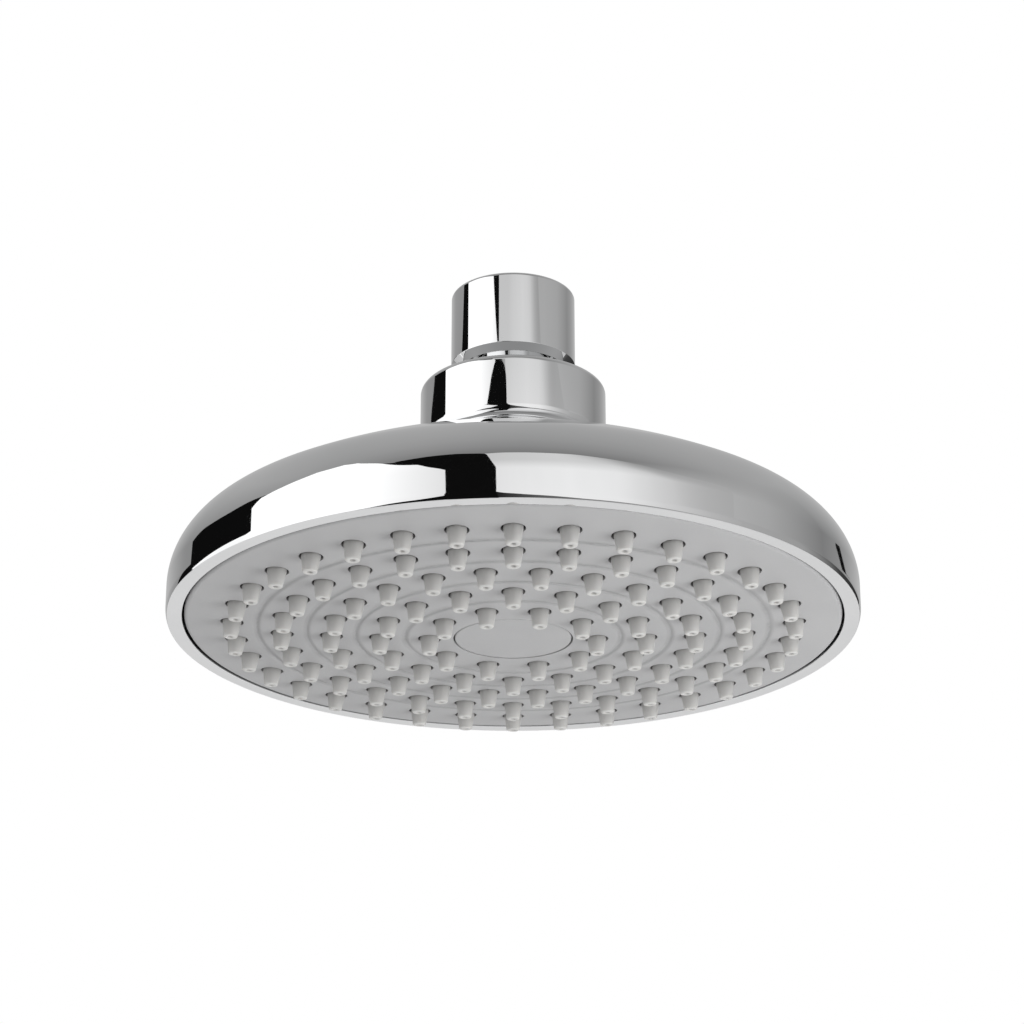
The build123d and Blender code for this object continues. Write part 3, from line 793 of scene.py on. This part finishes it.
# light panel in front and at the right: the pale band on the side
lightPanel = [
    (-25.9, 450, 188, 320), (-19, 450, 188, 335), (-9, 450, 188, 340), (-5.2, 450, 60, 360),
    (-4, 450, 0, 362), (4.4, 450, -90, 367), (20.4, 450, -180, 354), (32.8, 450, -180, 301),
    (41.7, 450, -180, 257), (47, 450, -180, 215), (54, 450, -180, 180), (70, 450, -180, 150),
]
panelLight = dict(
    at=(-26, -9, 0, 17, 31, 45, 60, 70), level=(0.80, 0.80, 0.86, 0.92, 0.88, 0.66, 0.49, 0.43),
    height=(90, 170, 210, 300), heightShare=(1, 0.82, 0.74, 0.74),
    fadeDepth=120, fadeFrom=15, fadeOver=25,
    roomAt=(40, 47, 54, 70), roomLevel=(0.31, 0.35, 0.40, 0.42),
)


def panelGlow(a, h):
    # dimmer to the right and upwards, and faded to the room's level along its upper right edge
    d = panelLight
    panel = np.interp(a, d["at"], d["level"]) * np.interp(h, d["height"], d["heightShare"])
    azimuth, distance, low, high = np.array(lightPanel).T
    inside = np.clip((np.interp(a, azimuth, high) - h) / d["fadeDepth"], 0, 1)
    share = 1 - (1 - inside) * np.clip((a - d["fadeFrom"]) / d["fadeOver"], 0, 1)
    return panel * share + np.interp(a, d["roomAt"], d["roomLevel"]) * (1 - share)


curvedCard("lightPanel", lightPanel, panelGlow, glowing, soften=4)


def noGlow(a, h):
    return 0 * a


# black cloth behind the gap of the panels, and a near flag for the bar on the side
farFlag = [
    (-48, 470, -260, 300), (-38, 470, -260, 290), (-25, 470, -260, 300), (-16, 470, -260, 300),
]
curvedCard("farFlag", farFlag, noGlow, blackCloth)
barFlag = [
    (-33.5, 170, 28, 30), (-32.4, 170, 25, 32), (-28.3, 170, 14, 38), (-25.1, 170, 2, 43),
    (-21.8, 170, -11, 46), (-16.7, 170, -26, 49), (-16.4, 170, -260, 49), (-9.5, 170, -260, 45),
    (-8, 170, -260, 42), (-7.4, 170, -260, 36), (-5.3, 170, -260, -6), (-4.1, 170, -260, -27),
    (-3.7, 170, -260, -100),
]
curvedCard("barFlag", barFlag, noGlow, blackCloth, soften=1)

# low card at the right: the dark line over the lip, which fades to grey
lowFlag = [
    (-4.8, 480, -260, 60), (60, 480, -260, 60), (100, 900, -480, 180), (128, 1500, -800, 300),
    (150, 1500, -800, 300),
]


def lowGlow(a, h):
    return np.interp(a, (-5, 10, 40, 70, 100, 125, 150), (0.01, 0.12, 0.3, 0.42, 0.34, 0.05, 0.02))


curvedCard("lowFlag", lowFlag, lowGlow, glowing)

# black cloth at the left: the dark end of the side
sideFlag = [
    (-134, 2600, -900, 759), (-129, 2600, -900, 920), (-124, 2600, -900, 1100),
    (-116.5, 2600, -900, 1140), (-108, 2600, -900, 1220), (-98.9, 2600, -900, 1429),
    (-90.9, 2600, -900, 1490), (-86, 2600, -900, 1500),
]
curvedCard("sideFlag", sideFlag, noGlow, blackCloth)

# white card low at the left, under that dark end
lowWhite = [(-120, 1380, -1400, 0), (-106, 1380, -1400, 150), (-91, 1380, -1400, 300)]
lowWhiteLevel = 1.1
curvedCard("lowWhite", lowWhite, lambda a, h: lowWhiteLevel + 0 * a, glowing, 40)

# thin black strip at the right: the short dark stroke at the right end of the side
thinFlag = [
    (129.2, 1450, 478, 483), (132, 1450, 469, 482), (134.8, 1450, 460, 472),
    (138, 1450, 444, 462), (142, 1450, 424, 450),
]
curvedCard("thinFlag", thinFlag, noGlow, blackCloth, 40, soften=1)
print("studio cards set")

# floor, in metres
floorLevel, floorReach = -0.75, 6
floorCorners = [(-1, -1), (1, -1), (1, 1), (-1, 1)]
floorPoints = [(floorReach * x, floorReach * y, floorLevel) for x, y in floorCorners]
floorMesh = bpy.data.meshes.new("floor")
floorMesh.from_pydata(floorPoints, [], [(0, 1, 2, 3)])
floorMesh.materials.append(newFinish("paleFloor", Roughness=0.8, Base_Color=(0.86, 0.86, 0.86, 1))[0])
floor = newObject("floor", floorMesh)

# white backdrop for the camera and mirrors, and a weaker fill for what scatters light
fillStrength, backdropStrength = 0.53, 1.0
world = bpy.data.worlds.new("studioWorld")
bpy.context.scene.world = world
world.use_nodes = True
worldNodes, worldLinks = world.node_tree.nodes, world.node_tree.links
fill, backdrop = worldNodes["Background"], worldNodes.new("ShaderNodeBackground")
for background, strength in ((fill, fillStrength), (backdrop, backdropStrength)):
    background.inputs["Color"].default_value = (1, 1, 1, 1)
    background.inputs["Strength"].default_value = strength
rays = worldNodes.new("ShaderNodeLightPath").outputs
direct = mathStep(worldNodes, worldLinks, "MAXIMUM", rays["Is Camera Ray"], rays["Is Glossy Ray"])
direct = mathStep(worldNodes, worldLinks, "MAXIMUM", direct, rays["Is Transmission Ray"])
chosen = worldNodes.new("ShaderNodeMixShader")
worldLinks.new(direct, chosen.inputs["Fac"])
worldLinks.new(fill.outputs[0], chosen.inputs[1])
worldLinks.new(backdrop.outputs[0], chosen.inputs[2])
worldLinks.new(chosen.outputs[0], worldNodes["World Output"].inputs["Surface"])


def softLamp(name, place, target, size, power):
    # square area lamp aimed at a point; it lights surfaces but isn't mirrored
    lamp = bpy.data.lights.new(name, "AREA")
    lamp.shape = "SQUARE"
    lamp.size = size
    lamp.energy = power
    holder = newObject(name, lamp)
    away = np.array(place, float) - np.array(target, float)
    flat = math.hypot(away[0], away[1])
    holder.location = place
    holder.rotation_euler = (math.atan2(flat, away[2]), 0, math.atan2(away[0], -away[1]))
    holder.visible_camera = False
    holder.visible_glossy = False


softLamp("keyLamp", (-0.7, -0.8, 0.9), (0, 0, -0.05), 0.9, 6.0)
softLamp("underLamp", (0.26, -0.1, -0.28), (0, 0, -0.075), 0.3, 0.66)
softLamp("floorLamp", (0, 1.7, 0.9), (0, 1.7, -0.75), 1.6, 9.0)

# the photo's view, from in front and below: place in metres, tilt in degrees above level
photoView = dict(lens=100.58, sensor=36.0, near=0.01, place=(-0.000235, -0.5439, -0.2659), tilt=21.793)
camera = bpy.data.cameras.new("photoCamera")
camera.lens = photoView["lens"]
camera.sensor_width = photoView["sensor"]
camera.clip_start = photoView["near"]
view = newObject("photoCamera", camera)
view.location = photoView["place"]
view.rotation_euler = (math.radians(90 + photoView["tilt"]), 0, 0)
bpy.context.scene.camera = view
bpy.context.scene.view_settings.view_transform = "Standard"
print("camera and lamps set")
